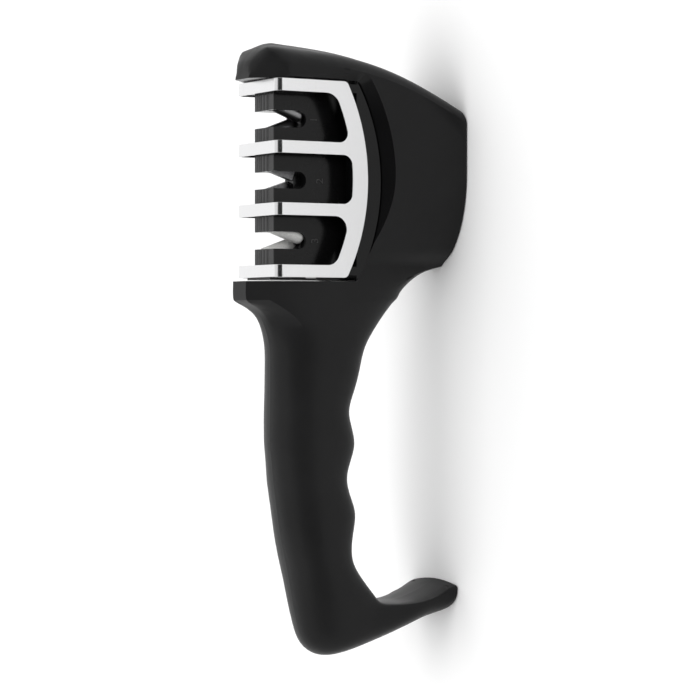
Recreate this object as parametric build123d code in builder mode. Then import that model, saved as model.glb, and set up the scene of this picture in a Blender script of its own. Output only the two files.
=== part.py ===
from build123d import *
import os
from math import cos, hypot, radians, sin, sqrt, tan

# A hand-held pull-through knife sharpener: a hollow handle with a broad head at one end
# and a foot at the other. A three-stage cartridge sits in a pocket across the head.
# Millimetres. +X runs from the foot to the head, -Y is the left side, +Z is up and the
# sharpener stands on z = 0.

os.makedirs("parts", exist_ok=True)

# ---------------------------------------------------------------- housing sizes
WALL = 2.5                  # wall of the moulded shells
RIM = 1.3                   # thin rim of the shells around the base plate
SHELL_LIFT = 0.4            # the shells stop this far above the table
OVERLAP = 2.0               # half sections run this far past the centre plane
SPARE = 10.0                # cutting shapes run this far past what they cut
BEYOND = 400.0              # or this far, where they clear everything

GRIP_HALF = 14.0            # half width of the handle
GRIP_ROUND = 0.63           # fullness of its rounded section
GRIP_TAPER_X = -50.0        # beyond this the handle narrows
GRIP_TAPER = 0.02
FOOT_CORNER = 0.8           # crisp inner corner of the foot

COLLAR_X = 17.2             # crease where the neck meets the head
COLLAR_TOP = 80.1
CAP_TOP_DROP = 1.6          # the top of the head falls this much over HEAD_RUN
HEAD_RUN = 80.0
HEAD_FACET_HALF = 4.6       # half width of the flat along the top
SHOULDER_HALF = 10.4        # crease between the sloping facet and the side, at the collar
SHOULDER_Z = 73.9
SHOULDER_SPREAD = 4.4       # how much that crease moves out and down over HEAD_RUN
SHOULDER_FALL = 5.5
SIDE_SPREAD = 2.2
SIDE_Z = 50.0               # the side's upper facet ends here
HEAD_DEEP = -3.0            # head sections run below the table and are cut off
ROOF = 4.2                  # thickness under the ridge and shoulders of the head

BASE_HALF = 21.0            # half width of the base
STERN_X = 61.9              # the base's rounded end starts here
STERN_LENGTH = 32.0
HEAD_LAST_X = 114.0         # the head's sections run past its end face
END_BACK = -20.0            # the plans of the end run back to here,
END_SPREAD = 4.0            # clear of the head's sides by this much
END_ROUND = 7.0             # radius of the upright edges of the end at the table,
END_ROUND_GROWTH = 0.04     # growing by this much per unit of height
END_CROWN = 1.8             # bulge of the end face across its width
SIDE_SLOPE = 0.079          # the sides lean in by this much per unit of height
CAP_ROUND = 17.0            # radius over the top of the end

# ---------------------------------------------------------------- pocket and cartridge sizes
POCKET_X0 = 23.7
POCKET_X1 = 92.9
POCKET_FLOOR = 31.2
POCKET_R = 68.0
POCKET_CORNER = 2.5
BEVEL_Y = 14.2              # the pocket's rim flares at 45 degrees beyond this
BEVEL_OUT = 9.0

CARRIER_CLEAR = 0.5         # carrier to pocket
CARRIER_HALF = 13.9
CARRIER_TOP = 41.5
TROUGH_FLOOR = 37.0
TROUGH_CLEAR = 0.15
TENON_X0 = 41.0
TENON_X1 = 77.0
TANG_X0 = 47.0
TANG_X1 = 71.0
TANG_HALF = 8.0
TANG_BOTTOM = 17.0
TANG_CHAMFER = 1.0
END_WALL_HALF = 8.0         # a wall of the carrier fills the gap beside the cover's foot end
WELL_CLEAR_X = 0.6
WELL_CLEAR_Y = 1.4
WELL_CLEAR_Z = 2.0
WELL_WALL = 2.0

COVER_T = 0.8
COVER_FIT = 0.04            # cover to carrier and to the core's ribs
COVER_TOP = 73.26
COVER_X0 = 24.97
COVER_X1 = 92.58
COVER_BEND = 2.5
COVER_BOTTOM = 37.3
COVER_R = 72.0
COVER_CORNER = 2.0
COVER_BAND = 6.2            # height of the plate below the openings
FINGER_W = 4.3
OPENING_CORNERS = [(4.5, 4.5), (3.5, 3.5), (3.2, 5.5)]
TAB_Z0 = 50.0
TAB_Z1 = 62.0
TAB_IN = 4.0

CORE_HALF = 6.6
CORE_TOP = 70.3
CORE_CLEAR = 0.05           # core to the cover's end tabs
RIB_T = 3.0
NOTCH_W = 5.9
NOTCH_Z = 60.4
WEB_HALF = 2.9              # the blades' notch is closed below their V by a web
ROD_R = 2.5
ROD_Y = 2.8
ROD_BOTTOM = 56.9
ROD_TOP = 68.6
ROD_END_ROUND = 2.0
ROD_FIT = 0.1
BLADE_T = 2.5
BLADE_W = 5.0
BLADE_BOTTOM = 60.0
BLADE_Y0 = 0.3
BLADE_CHAMFER = 0.3

# x of each stage, the height of the bottom of its V and how far its rods or blades lean
STAGES = {"diamond": (79.5, 61.3, 20.6), "carbide": (58.5, 60.5, 18.6), "ceramic": (37.8, 62.4, 19.5)}

# ---------------------------------------------------------------- fasteners and rubber
SCREW_R = 1.3
SCREW_HEAD_R = 2.4
SCREW_HEAD_T = 1.8
SCREW_TIP = 0.5
RECESS_LENGTH = 3.2
RECESS_W = 0.7
RECESS_DEPTH = 1.0
HOLE_EXTRA = 0.5            # blind holes run on this far past their screw
SCREW_FIT = 0.05            # thread to pilot hole
SCREW_PASS = 0.2            # shank to clearance hole, head to counterbore
BOSS_R = 3.8
BASE_BOSS_SINK = 0.9        # the base's bosses run into the wall by this much
SHELL_SCREW_HEAD_Y = 6.0    # seat of the heads in the right shell
SHELL_SCREW_DEPTH = 8.0     # how far they reach into the left shell
SHELL_SCREWS = [(84.0, 22.0), (36.0, 22.0), (4.0, 50.0), (-50.0, 52.0), (-94.5, 42.0)]

SOLE_T = 1.8
SOLE_INSET = 2.0
BASE_PLATE_T = 3.0
BASE_FIT = 0.2
BASE_SCREW_X = (78.0, 49.0)
BASE_SCREW_LENGTH = 9.0
BASE_BOSS_TOP = 16.0

PAD_T = 2.4
PAD_FIT = 0.15
PAD_X = -85.2               # the foot's pad is widest here
PAD_HALF = 12.6
PAD_OUTER = 5.6             # it reaches this far outwards from there, as half an ellipse,
PAD_INNER = 1.6             # and this far inwards
PAD_CORNER = 1.2

CARRIER_SCREW_X = (44.0, 73.8)
CARRIER_SCREW_Y = 3.3
CARRIER_SCREW_SEAT = 35.6
CARRIER_SCREW_LENGTH = 11.0

PIN_R = 1.5
PIN_FIT = 0.05
PIN_HALF = 5.0
PIN_Z = 50.0
PIN_CHAMFER = 0.3

CLIP_T = 0.4
CLIP_W = 10.0
CLIP_Z0 = 18.0
CLIP_Z1 = 29.0
CLIP_CLEAR = 0.3

# ---------------------------------------------------------------- handle stations
# x, top z, bottom z, share of the grip's round section, top flat, shoulder (y, z)
NECK = [
    (COLLAR_X, 79.7, 18.5, 0.0, 4.6, (SHOULDER_HALF, SHOULDER_Z)),
    (15.4, 76.5, 20.4, 0.0, 4.5, (11.0, 70.6)),
    (13.3, 73.3, 22.3, 0.05, 4.0, (11.9, 67.6)),
    (11.2, 71.6, 24.2, 0.2, 3.4, (12.5, 65.2)),
    (8.5, 70.3, 26.6, 0.5, 3.0, (12.9, 62.5)),
    (4.5, 68.9, 29.9, 0.85, 3.0, (13.2, 60.0)),
    (0.5, 68.1, 32.3, 1.0, 3.0, (13.3, 59.0)),
]
NECK_SIDE_Z = 53.0
# x, top z, bottom z: the lower line rises and falls with the finger grooves
GRIP = [
    (-6.0, 67.9, 34.2), (-14.0, 67.9, 36.7), (-21.5, 68.0, 38.9), (-27.5, 68.1, 37.6),
    (-33.0, 68.0, 36.7), (-39.0, 67.3, 38.5), (-44.5, 66.8, 39.9), (-50.5, 66.0, 38.6),
    (-56.8, 65.1, 36.5), (-62.5, 64.2, 37.1), (-68.5, 63.0, 38.0), (-74.0, 61.7, 37.3),
    (-79.0, 60.6, 34.2),
]
# outer point, inner point, half width: the sections fan round the heel
HEEL = [
    ((-88.0, 58.9), (-84.0, 30.2), 13.3), ((-96.5, 56.9), (-86.0, 28.6), 13.0),
    ((-102.5, 54.3), (-87.2, 27.6), 12.8), ((-106.0, 49.3), (-87.9, 26.2), 12.7),
    ((-106.1, 43.0), (-88.3, 24.2), 12.6), ((-104.4, 36.0), (-88.5, 21.5), 12.6),
    ((-101.4, 26.5), (-88.5, 18.0), 12.8),
]
# outer point, inner point, half width, depth of the rounded outer side, crown of the inner edge
FOOT = [
    ((-97.6, 15.5), (-87.3, 12.6), 13.3, 9.0, 1.0),
    ((-94.6, 6.8), (-84.9, 6.3), 14.0, 8.0, 1.0),
    ((-92.4, 0.0), (-81.6, 0.0), 14.8, 8.0, 1.6),
]
# x, bottom z, share of the head's straight section: the underside drops to the base
HEAD_ROOT = [(20.0, 16.2, 0.05), (22.8, 13.6, 0.15), (25.5, 10.0, 0.35), (28.3, 4.0, 0.65)]
HEAD_ROOT_STERN_X = 30.4
HEAD_STATIONS = [31.0, 34.0, 37.0, 41.0, 45.0, 50.0, 56.0, 62.0, 70.0, 78.0, 86.0, 95.0, 104.0]
# z, x of the end face at the centre plane
END_FACE = [(-6.0, 83.0), (0.0, 86.4), (20.0, 96.4), (41.0, 102.9), (58.0, 105.2), (70.5, 106.3)]
END_FACE_TOP = (86.0, 107.6)


# ---------------------------------------------------------------- section curves
# A half section starts at its top on the centre plane and runs down the +Y side in five
# cubic curves, in local (outward, up) coordinates with the top at (0, 0).

def mix(a, b, share):
    return tuple(p + (q - p) * share for p, q in zip(a, b))


def straight(a, b):
    return [mix(a, b, third / 3) for third in range(4)]


def split_curve(curve, t):
    p01, p12, p23 = (mix(a, b, t) for a, b in zip(curve, curve[1:]))
    p012, p123 = mix(p01, p12, t), mix(p12, p23, t)
    middle = mix(p012, p123, t)
    return [curve[0], p01, p012, middle], [middle, p123, p23, curve[3]]


def rounded_top(half, side, fullness):
    """Three curves from the top to the side at depth `side`."""
    arc = [(0, 0), (fullness * half, 0), (half, -(1 - fullness) * side), (half, -side)]
    first, rest = split_curve(arc, 0.3)
    return [first, *split_curve(rest, 0.42)]


def grip_curves(height, half):
    side = height / 2
    lower = [(half, -side), (half, -side * (1 + GRIP_ROUND)), (GRIP_ROUND * half, -height), (0, -height)]
    return [*rounded_top(half, side, GRIP_ROUND), *split_curve(lower, 0.6)]


def foot_curves(height, half, side, corner, crown):
    edge = (half - corner, crown - height)
    swell = -side - (height - crown - side) * 0.6
    flank = [(half, -side), (half, swell), (half - corner * 0.3, edge[1] + corner * 0.3), edge]
    inner = [edge, (edge[0] * 0.66, crown * 0.35 - height), (edge[0] * 0.33, -height), (0, -height)]
    return [*rounded_top(half, side, 0.6), flank, inner]


def head_curves(height, flat, shoulder, side, base):
    points = [(0, 0), (flat, 0), shoulder, side, (base, -height), (0, -height)]
    return [straight(a, b) for a, b in zip(points, points[1:])]


def neck_curves(height, flat, shoulder, side):
    across, down = side[0] - shoulder[0], side[1] - shoulder[1]
    flank = [shoulder, (shoulder[0] + across * 0.5, shoulder[1] + down * 0.25),
             (side[0], shoulder[1] + down * 0.6), side]
    lower = [side, (side[0], side[1] - 0.6 * (height + side[1])), (0.48 * side[0], -height), (0, -height)]
    return [straight((0, 0), (flat, 0)), straight((flat, 0), shoulder), flank, *split_curve(lower, 0.6)]


def blend(first, second, share):
    return [[mix(p, q, share) for p, q in zip(a, b)] for a, b in zip(first, second)]


def section(top, bottom, curves):
    """The half section's face, between two (x, z) points on the centre plane."""
    up = (Vector(top[0], 0, top[1]) - Vector(bottom[0], 0, bottom[1])).normalized()
    plane = Plane(origin=(top[0], 0, top[1]), x_dir=(0, 1, 0), z_dir=(up.Z, 0, -up.X))
    low = curves[-1][-1][1]
    corners = [(0, low), (-OVERLAP, low), (-OVERLAP, 0), (0, 0)]
    edges = [Edge.make_bezier(*curve) for curve in curves]
    edges += [Edge.make_line(a, b) for a, b in zip(corners, corners[1:])]
    return plane.from_local_coords(Face(Wire(edges)))


def inset_points(top, bottom, inset):
    """The same two points, each moved towards the other."""
    length = hypot(top[0] - bottom[0], top[1] - bottom[1])
    return mix(top, bottom, inset / length), mix(bottom, top, inset / length), length - 2 * inset


def neck_section(x, top, bottom, share, flat, shoulder, half, inset):
    high, height = top - inset, top - bottom - 2 * inset
    corner = (shoulder[0] - inset, shoulder[1] - inset * 0.5 - high)
    side = (half - inset, NECK_SIDE_Z - high)
    collar = neck_curves(height, flat, corner, side)
    return section((x, high), (x, bottom + inset), blend(collar, grip_curves(height, half - inset), share))


def grip_sections(inset):
    """Sections from the collar along the handle and round the heel."""
    faces = [neck_section(*station, GRIP_HALF, inset) for station in NECK]
    for x, top, bottom in GRIP:
        half = GRIP_HALF - max(0.0, GRIP_TAPER_X - x) * GRIP_TAPER - inset
        curves = grip_curves(top - bottom - 2 * inset, half)
        faces.append(section((x, top - inset), (x, bottom + inset), curves))
    for count, (top, bottom, half) in enumerate(HEEL, 1):
        top, bottom, height = inset_points(top, bottom, inset)
        foot = foot_curves(height, half - inset, height * 0.75, FOOT_CORNER, 0.6)
        share = count / (len(HEEL) + 1)
        faces.append(section(top, bottom, blend(grip_curves(height, half - inset), foot, share)))
    return faces


def foot_sections(inset):
    faces = []
    for top, bottom, half, side, crown in FOOT:
        top, bottom, height = inset_points(top, bottom, inset)
        faces.append(section(top, bottom, foot_curves(height, half - inset, side, FOOT_CORNER, crown)))
    return faces


def stern(x):
    """Half width of the base at x."""
    return BASE_HALF * sqrt(max(0.0, 1 - (max(0.0, STERN_X - x) / STERN_LENGTH) ** 2))


def head_top(x):
    return COLLAR_TOP - CAP_TOP_DROP * (x - COLLAR_X) / HEAD_RUN


def head_section(x, bottom, share):
    """share 0 is the neck's section, 1 the head's own."""
    top, run = head_top(x), (x - COLLAR_X) / HEAD_RUN
    shoulder = (SHOULDER_HALF + SHOULDER_SPREAD * run, SHOULDER_Z - SHOULDER_FALL * run - top)
    side_half = GRIP_HALF + SIDE_SPREAD * run
    flat, height = HEAD_FACET_HALF, top - bottom
    base = stern(max(x, HEAD_ROOT_STERN_X))
    curves = head_curves(height, flat, shoulder, (side_half, SIDE_Z - top), base)
    if share < 1:
        side = (side_half, NECK_SIDE_Z - 3 * run - top)
        curves = blend(neck_curves(height, flat, shoulder, side), curves, share)
    return section((x, top), (x, bottom), curves)


def end_section(z, x, inset=0.0):
    """Plan section that gives the head its end face: crowned, with rounded upright edges."""
    half = BASE_HALF - SIDE_SLOPE * (z + 1.0) - inset
    x, radius = x - inset, END_ROUND + END_ROUND_GROWTH * z - inset
    edge = x - END_CROWN
    inner = -2 * OVERLAP
    corners = [(edge - radius, half), (END_BACK, half + END_SPREAD), (END_BACK, inner), (x, inner), (x, 0)]
    crown = Edge.make_three_point_arc((x, 0), (x - END_CROWN * 0.25, (half - radius) / 2),
                                      (edge, half - radius))
    middle = radius * (1 - sqrt(0.5))
    corner = Edge.make_three_point_arc((edge, half - radius), (edge - middle, half - middle), corners[0])
    lines = [Edge.make_line(a, b) for a, b in zip(corners, corners[1:])]
    return Plane.XY.offset(z).from_local_coords(Face(Wire([crown, corner, *lines])))


def side_profile(inset=0.0):
    """Side view that rounds the head over from its top into its end."""
    end_x, radius = END_FACE_TOP[1], CAP_ROUND - inset
    cap_x = end_x - CAP_ROUND
    cap_z = head_top(cap_x) - CAP_ROUND
    with BuildSketch(Plane.XZ.offset(SPARE)) as profile:
        with BuildLine():
            CenterArc((cap_x, cap_z), radius, 0, 90)
            Polyline((cap_x, cap_z + radius), (COLLAR_X, COLLAR_TOP - inset),
                     (COLLAR_X - SPARE, COLLAR_TOP - inset), (COLLAR_X - SPARE, HEAD_DEEP - SPARE),
                     (end_x - inset, HEAD_DEEP - SPARE), (end_x - inset, cap_z))
        make_face()
    return profile.sketch


# ---------------------------------------------------------------- outer form of the right half
with BuildPart() as handle_form:
    loft(grip_sections(0) + foot_sections(0))

with BuildPart() as head_end:
    loft([end_section(z, x) for z, x in END_FACE + [END_FACE_TOP]])

with BuildPart() as head_form:
    loft([neck_section(*NECK[0], GRIP_HALF, 0)]
         + [head_section(x, bottom, share) for x, bottom, share in HEAD_ROOT]
         + [head_section(x, HEAD_DEEP, 1) for x in HEAD_STATIONS + [HEAD_LAST_X]])
    add(head_end.part, mode=Mode.INTERSECT)
    extrude(side_profile(), amount=-BEYOND, mode=Mode.INTERSECT)

with BuildPart() as half_form:
    add(head_form.part)
    add(handle_form.part)
    with Locations((0, 0, SHELL_LIFT)):
        Box(BEYOND, BEYOND, BEYOND, align=(Align.CENTER, Align.MIN, Align.MIN), mode=Mode.INTERSECT)

# ---------------------------------------------------------------- pocket, hollow and fittings
def pocket_outline(outset, plane):
    """Side view of the pocket, open at the top, grown by `outset`."""
    middle = (POCKET_X0 + POCKET_X1) / 2
    with BuildSketch(plane) as outline:
        with Locations((middle, POCKET_FLOOR + POCKET_R)):
            Circle(POCKET_R + outset)
        with Locations((middle, POCKET_FLOOR - SPARE)):
            Rectangle(POCKET_X1 - POCKET_X0 + 2 * outset, POCKET_R, mode=Mode.INTERSECT,
                      align=(Align.CENTER, Align.MIN))
        low = outline.vertices().filter_by(lambda v: v.Y < POCKET_FLOOR + POCKET_R / 2)
        fillet(low, POCKET_CORNER + outset)
    return outline.sketch


def pocket_cut(outset, bevel_y):
    """The pocket's right half, with its rim flaring at 45 degrees."""
    straight_part = extrude(pocket_outline(outset, Plane.XZ), amount=-bevel_y)
    rim = pocket_outline(outset, Plane.XZ.offset(-bevel_y))
    return straight_part + extrude(rim, amount=-BEVEL_OUT, taper=-45)


def base_outline(inset):
    """Plan of the base: a rounded stern and a squarer end."""
    end = END_FACE[1][1] - END_CROWN - inset
    with BuildSketch() as outline:
        with Locations((STERN_X, 0)):
            Ellipse(STERN_LENGTH - inset, BASE_HALF - inset)
            Rectangle(2 * STERN_LENGTH, 2 * BASE_HALF, align=(Align.MIN, Align.CENTER), mode=Mode.SUBTRACT)
            Rectangle(end - STERN_X, 2 * (BASE_HALF - inset), align=(Align.MIN, Align.CENTER))
        fillet(outline.vertices().group_by(Axis.X)[-1], END_ROUND - inset)
    return outline.sketch


def pad_plan(outset=0.0):
    """Plan of the foot's pad."""
    with BuildSketch() as plan:
        with Locations((PAD_X, 0)):
            Ellipse(PAD_OUTER + outset, PAD_HALF + outset)
            Rectangle(BEYOND, BEYOND, align=(Align.MIN, Align.CENTER), mode=Mode.SUBTRACT)
            Rectangle(PAD_INNER + outset, 2 * (PAD_HALF + outset), align=(Align.MIN, Align.CENTER))
        fillet(plan.vertices().group_by(Axis.X)[-1], PAD_CORNER)
    return plan.sketch


def across(x, z, y=0.0):
    """Plane at (x, y, z) facing +Y."""
    return Plane(origin=(x, y, z), z_dir=(0, 1, 0))


def base_boss_y(x):
    return stern(x) - WALL - BOSS_R + BASE_BOSS_SINK


WELL_X0 = TANG_X0 - WELL_CLEAR_X
WELL_X1 = TANG_X1 + WELL_CLEAR_X
WELL_HALF = TANG_HALF + WELL_CLEAR_Y
WELL_BOTTOM = TANG_BOTTOM - WELL_CLEAR_Z
BASE_TOP = SOLE_T + BASE_PLATE_T

# the hollow of the neck and handle runs on into the head's root
HOLLOW_ROOT = [(36.0, 5.0), (31.0, 6.0), (28.3, 8.0), (25.5, 11.0), (22.8, 13.8), (20.0, 16.2)]

with BuildPart() as head_hollow:
    with BuildSketch(Plane.YZ.offset(STERN_X - STERN_LENGTH)):
        with BuildLine():
            Polyline((-OVERLAP, HEAD_DEEP), (BASE_HALF - WALL, HEAD_DEEP), (GRIP_HALF - WALL, SIDE_Z),
                     (SHOULDER_HALF - WALL, SHOULDER_Z - ROOF), (HEAD_FACET_HALF - WALL, COLLAR_TOP - ROOF),
                     (-OVERLAP, COLLAR_TOP - ROOF), close=True)
        make_face()
    extrude(amount=HEAD_RUN)
    with BuildSketch():
        with Locations((STERN_X, 0)):
            Ellipse(STERN_LENGTH - WALL, BASE_HALF - WALL)
            Rectangle(HEAD_RUN, 2 * BASE_HALF, align=(Align.MIN, Align.CENTER))
    extrude(amount=2 * HEAD_RUN, both=True, mode=Mode.INTERSECT)
    loft([end_section(z, x, WALL) for z, x in END_FACE + [END_FACE_TOP]], mode=Mode.INTERSECT)
    extrude(side_profile(WALL), amount=-BEYOND, mode=Mode.INTERSECT)

with BuildPart() as hollow:
    collar = (0, HEAD_FACET_HALF, (SHOULDER_HALF, SHOULDER_Z), GRIP_HALF, WALL)
    root = [neck_section(x, head_top(x), bottom, *collar) for x, bottom in HOLLOW_ROOT]
    loft([*root, neck_section(*NECK[0], GRIP_HALF, WALL)])
    loft(grip_sections(WALL))
    add(head_hollow.part)
    add(pocket_cut(WALL, BEVEL_Y - WALL * tan(radians(22.5))), mode=Mode.SUBTRACT)

with BuildPart() as fittings:
    for x, z in SHELL_SCREWS:
        with Locations(across(x, z)):
            Cylinder(BOSS_R, BEYOND, align=(Align.CENTER, Align.CENTER, Align.MIN))
    for x in BASE_SCREW_X:
        with Locations((x, base_boss_y(x), BASE_TOP)):
            Cylinder(BOSS_R, BASE_BOSS_TOP - BASE_TOP, align=(Align.CENTER, Align.CENTER, Align.MIN))
    with Locations((WELL_X0 - WELL_WALL, 0, WELL_BOTTOM - WELL_WALL)):
        Box(WELL_X1 - WELL_X0 + 2 * WELL_WALL, WELL_HALF + WELL_WALL,
            POCKET_FLOOR - WELL_BOTTOM + 2 * WELL_WALL, align=Align.MIN)
    add(half_form.part, mode=Mode.INTERSECT)

# the right half of the housing, before its screw holes
with BuildPart() as half_shell:
    add(half_form.part)
    add(hollow.part, mode=Mode.SUBTRACT)
    add(fittings.part)
    add(pocket_cut(0, BEVEL_Y), mode=Mode.SUBTRACT)
    with Locations((WELL_X0, 0, WELL_BOTTOM)):
        Box(WELL_X1 - WELL_X0, WELL_HALF, POCKET_R, align=Align.MIN, mode=Mode.SUBTRACT)
    extrude(base_outline(RIM), amount=BASE_TOP, mode=Mode.SUBTRACT)
    extrude(pad_plan(PAD_FIT), amount=PAD_T + PAD_FIT, mode=Mode.SUBTRACT)
    for x in BASE_SCREW_X:
        with Locations((x, base_boss_y(x), BASE_TOP)):
            Cylinder(SCREW_R + SCREW_FIT, BASE_SCREW_LENGTH, align=(Align.CENTER, Align.CENTER, Align.MIN),
                     mode=Mode.SUBTRACT)

# ---------------------------------------------------------------- housing
with BuildPart() as shell_right:
    add(half_shell.part)
    for x, z in SHELL_SCREWS:
        with Locations(across(x, z)):
            Cylinder(SCREW_R + SCREW_PASS, BEYOND, align=(Align.CENTER, Align.CENTER, Align.MIN),
                     mode=Mode.SUBTRACT)
        with Locations(across(x, z, SHELL_SCREW_HEAD_Y)):
            Cylinder(SCREW_HEAD_R + SCREW_PASS, BEYOND, align=(Align.CENTER, Align.CENTER, Align.MIN),
                     mode=Mode.SUBTRACT)
shell_right.part.label = "shell_right"
export_step(shell_right.part, "parts/shell_right.step")

with BuildPart() as shell_left:
    add(mirror(half_shell.part, about=Plane.XZ, mode=Mode.PRIVATE))
    for x, z in SHELL_SCREWS:
        with Locations(across(x, z)):
            Cylinder(SCREW_R + SCREW_FIT, SHELL_SCREW_DEPTH + HOLE_EXTRA,
                     align=(Align.CENTER, Align.CENTER, Align.MAX), mode=Mode.SUBTRACT)
shell_left.part.label = "shell_left"
export_step(shell_left.part, "parts/shell_left.step")


def screw(plane, length):
    """A screw whose head's seat is on `plane`, with its shank against the plane's direction."""
    with BuildPart() as body:
        with BuildSketch(plane):
            Circle(SCREW_HEAD_R)
        extrude(amount=SCREW_HEAD_T)
        with BuildSketch(plane):
            Circle(SCREW_R)
        extrude(amount=-length)
        chamfer(body.faces().sort_by(Axis(plane.origin, plane.z_dir))[0].edges(), SCREW_TIP)
        with BuildSketch(plane.offset(SCREW_HEAD_T)):
            for turn in (0, 90):
                with Locations(Rot(0, 0, turn)):
                    Rectangle(RECESS_LENGTH, RECESS_W)
        extrude(amount=-RECESS_DEPTH, mode=Mode.SUBTRACT)
    return body.part


with BuildPart() as shell_screws:
    for x, z in SHELL_SCREWS:
        add(screw(across(x, z, SHELL_SCREW_HEAD_Y), SHELL_SCREW_HEAD_Y + SHELL_SCREW_DEPTH))
shell_screws.part.label = "shell_screws"
export_step(shell_screws.part, "parts/shell_screws.step")

with BuildPart() as base_plate:
    extrude(base_outline(RIM + BASE_FIT).moved(Location((0, 0, SOLE_T))), amount=BASE_PLATE_T)
    for x in BASE_SCREW_X:
        with Locations(*[(x, side * base_boss_y(x), SOLE_T) for side in (-1, 1)]):
            Cylinder(SCREW_R + SCREW_PASS, BASE_TOP, align=(Align.CENTER, Align.CENTER, Align.MIN),
                     mode=Mode.SUBTRACT)
            Cylinder(SCREW_HEAD_R + SCREW_PASS, SCREW_HEAD_T, align=(Align.CENTER, Align.CENTER, Align.MIN),
                     mode=Mode.SUBTRACT)
base_plate.part.label = "base_plate"
export_step(base_plate.part, "parts/base_plate.step")

with BuildPart() as base_plate_screws:
    for x in BASE_SCREW_X:
        for side in (-1, 1):
            seat = Plane(origin=(x, side * base_boss_y(x), SOLE_T + SCREW_HEAD_T), z_dir=(0, 0, -1))
            add(screw(seat, BASE_SCREW_LENGTH))
base_plate_screws.part.label = "base_plate_screws"
export_step(base_plate_screws.part, "parts/base_plate_screws.step")

with BuildPart() as base_sole:
    extrude(base_outline(SOLE_INSET), amount=SOLE_T)
base_sole.part.label = "base_sole"
export_step(base_sole.part, "parts/base_sole.step")

with BuildPart() as foot_pad:
    extrude(pad_plan(), amount=PAD_T)
foot_pad.part.label = "foot_pad"
export_step(foot_pad.part, "parts/foot_pad.step")

with BuildPart() as retaining_clips:
    with BuildSketch(Plane.YZ.offset((TANG_X0 + TANG_X1 - CLIP_W) / 2)):
        wall_y, tang_y = WELL_HALF - ROD_FIT / 2, TANG_HALF + CLIP_CLEAR
        middle_z = (CLIP_Z0 + CLIP_Z1) / 2
        with BuildLine():
            ThreePointArc((wall_y, CLIP_Z0), (tang_y + CLIP_T, middle_z), (wall_y, CLIP_Z1))
            Line((wall_y, CLIP_Z1), (wall_y - CLIP_T, CLIP_Z1))
            ThreePointArc((wall_y - CLIP_T, CLIP_Z1), (tang_y, middle_z), (wall_y - CLIP_T, CLIP_Z0))
            Line((wall_y - CLIP_T, CLIP_Z0), (wall_y, CLIP_Z0))
        make_face()
    extrude(amount=CLIP_W)
    mirror(about=Plane.XZ)
retaining_clips.part.label = "retaining_clips"
export_step(retaining_clips.part, "parts/retaining_clips.step")

# ---------------------------------------------------------------- cartridge
CORE_X0 = COVER_X0 + COVER_T + CORE_CLEAR
CORE_X1 = COVER_X1 - COVER_T - CORE_CLEAR
FINGER_PITCH = (COVER_X1 - COVER_X0 - FINGER_W) / 3
FINGERS = [COVER_X0 + FINGER_W / 2 + count * FINGER_PITCH for count in range(4)]
CORE_ROOF = COVER_TOP - COVER_T - COVER_FIT

with BuildPart() as cartridge_base:
    extrude(pocket_outline(-CARRIER_CLEAR, Plane.XZ), amount=CARRIER_HALF, both=True)
    with Locations((0, 0, CARRIER_TOP)):
        Box(BEYOND, BEYOND, BEYOND, align=(Align.CENTER, Align.CENTER, Align.MIN), mode=Mode.SUBTRACT)
    with Locations(((TANG_X0 + TANG_X1) / 2, 0, TANG_BOTTOM)):
        Box(TANG_X1 - TANG_X0, 2 * TANG_HALF, TROUGH_FLOOR - TANG_BOTTOM,
            align=(Align.CENTER, Align.CENTER, Align.MIN))
    chamfer(cartridge_base.faces().sort_by(Axis.Z)[0].edges(), TANG_CHAMFER)
    wall_x = POCKET_X0 + CARRIER_CLEAR
    with Locations((wall_x, 0, CARRIER_TOP)):
        Box(COVER_X0 - COVER_FIT - wall_x, 2 * END_WALL_HALF, COVER_TOP - COVER_T - CARRIER_TOP,
            align=(Align.MIN, Align.CENTER, Align.MIN))
    with Locations(((TENON_X0 + TENON_X1) / 2, 0, TROUGH_FLOOR)):
        Box(TENON_X1 - TENON_X0 + 2 * TROUGH_CLEAR, 2 * (CORE_HALF + TROUGH_CLEAR), POCKET_R,
            align=(Align.CENTER, Align.CENTER, Align.MIN), mode=Mode.SUBTRACT)
    for x in CARRIER_SCREW_X:
        with Locations(*[(x, side * CARRIER_SCREW_Y, CARRIER_SCREW_SEAT) for side in (-1, 1)]):
            Cylinder(SCREW_R + SCREW_PASS, POCKET_R, mode=Mode.SUBTRACT)
            Cylinder(SCREW_HEAD_R + SCREW_PASS, POCKET_R, align=(Align.CENTER, Align.CENTER, Align.MAX),
                     mode=Mode.SUBTRACT)
cartridge_base.part.label = "cartridge_base"
export_step(cartridge_base.part, "parts/cartridge_base.step")

with BuildPart() as carrier_screws:
    for x in CARRIER_SCREW_X:
        for side in (-1, 1):
            seat = Plane(origin=(x, side * CARRIER_SCREW_Y, CARRIER_SCREW_SEAT), z_dir=(0, 0, -1))
            add(screw(seat, CARRIER_SCREW_LENGTH))
carrier_screws.part.label = "carrier_screws"
export_step(carrier_screws.part, "parts/carrier_screws.step")


def sharpener_plane(stage, side, half_width, bottom):
    """Plane at the lower end of a rod or blade, facing up along it. The left pieces lean
    towards +X and the right ones towards -X, so that each pair crosses in a V."""
    x, apex, lean = STAGES[stage]
    lean = radians(lean)
    reach = half_width / cos(lean) + (bottom - apex) * tan(lean)
    return Plane(origin=(x - side * reach, side * ROD_Y, bottom), x_dir=(cos(lean), 0, side * sin(lean)),
                 z_dir=(-side * sin(lean), 0, cos(lean)))


def rod_length(stage, bottom):
    return (ROD_TOP - bottom) / cos(radians(STAGES[stage][2]))


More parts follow.
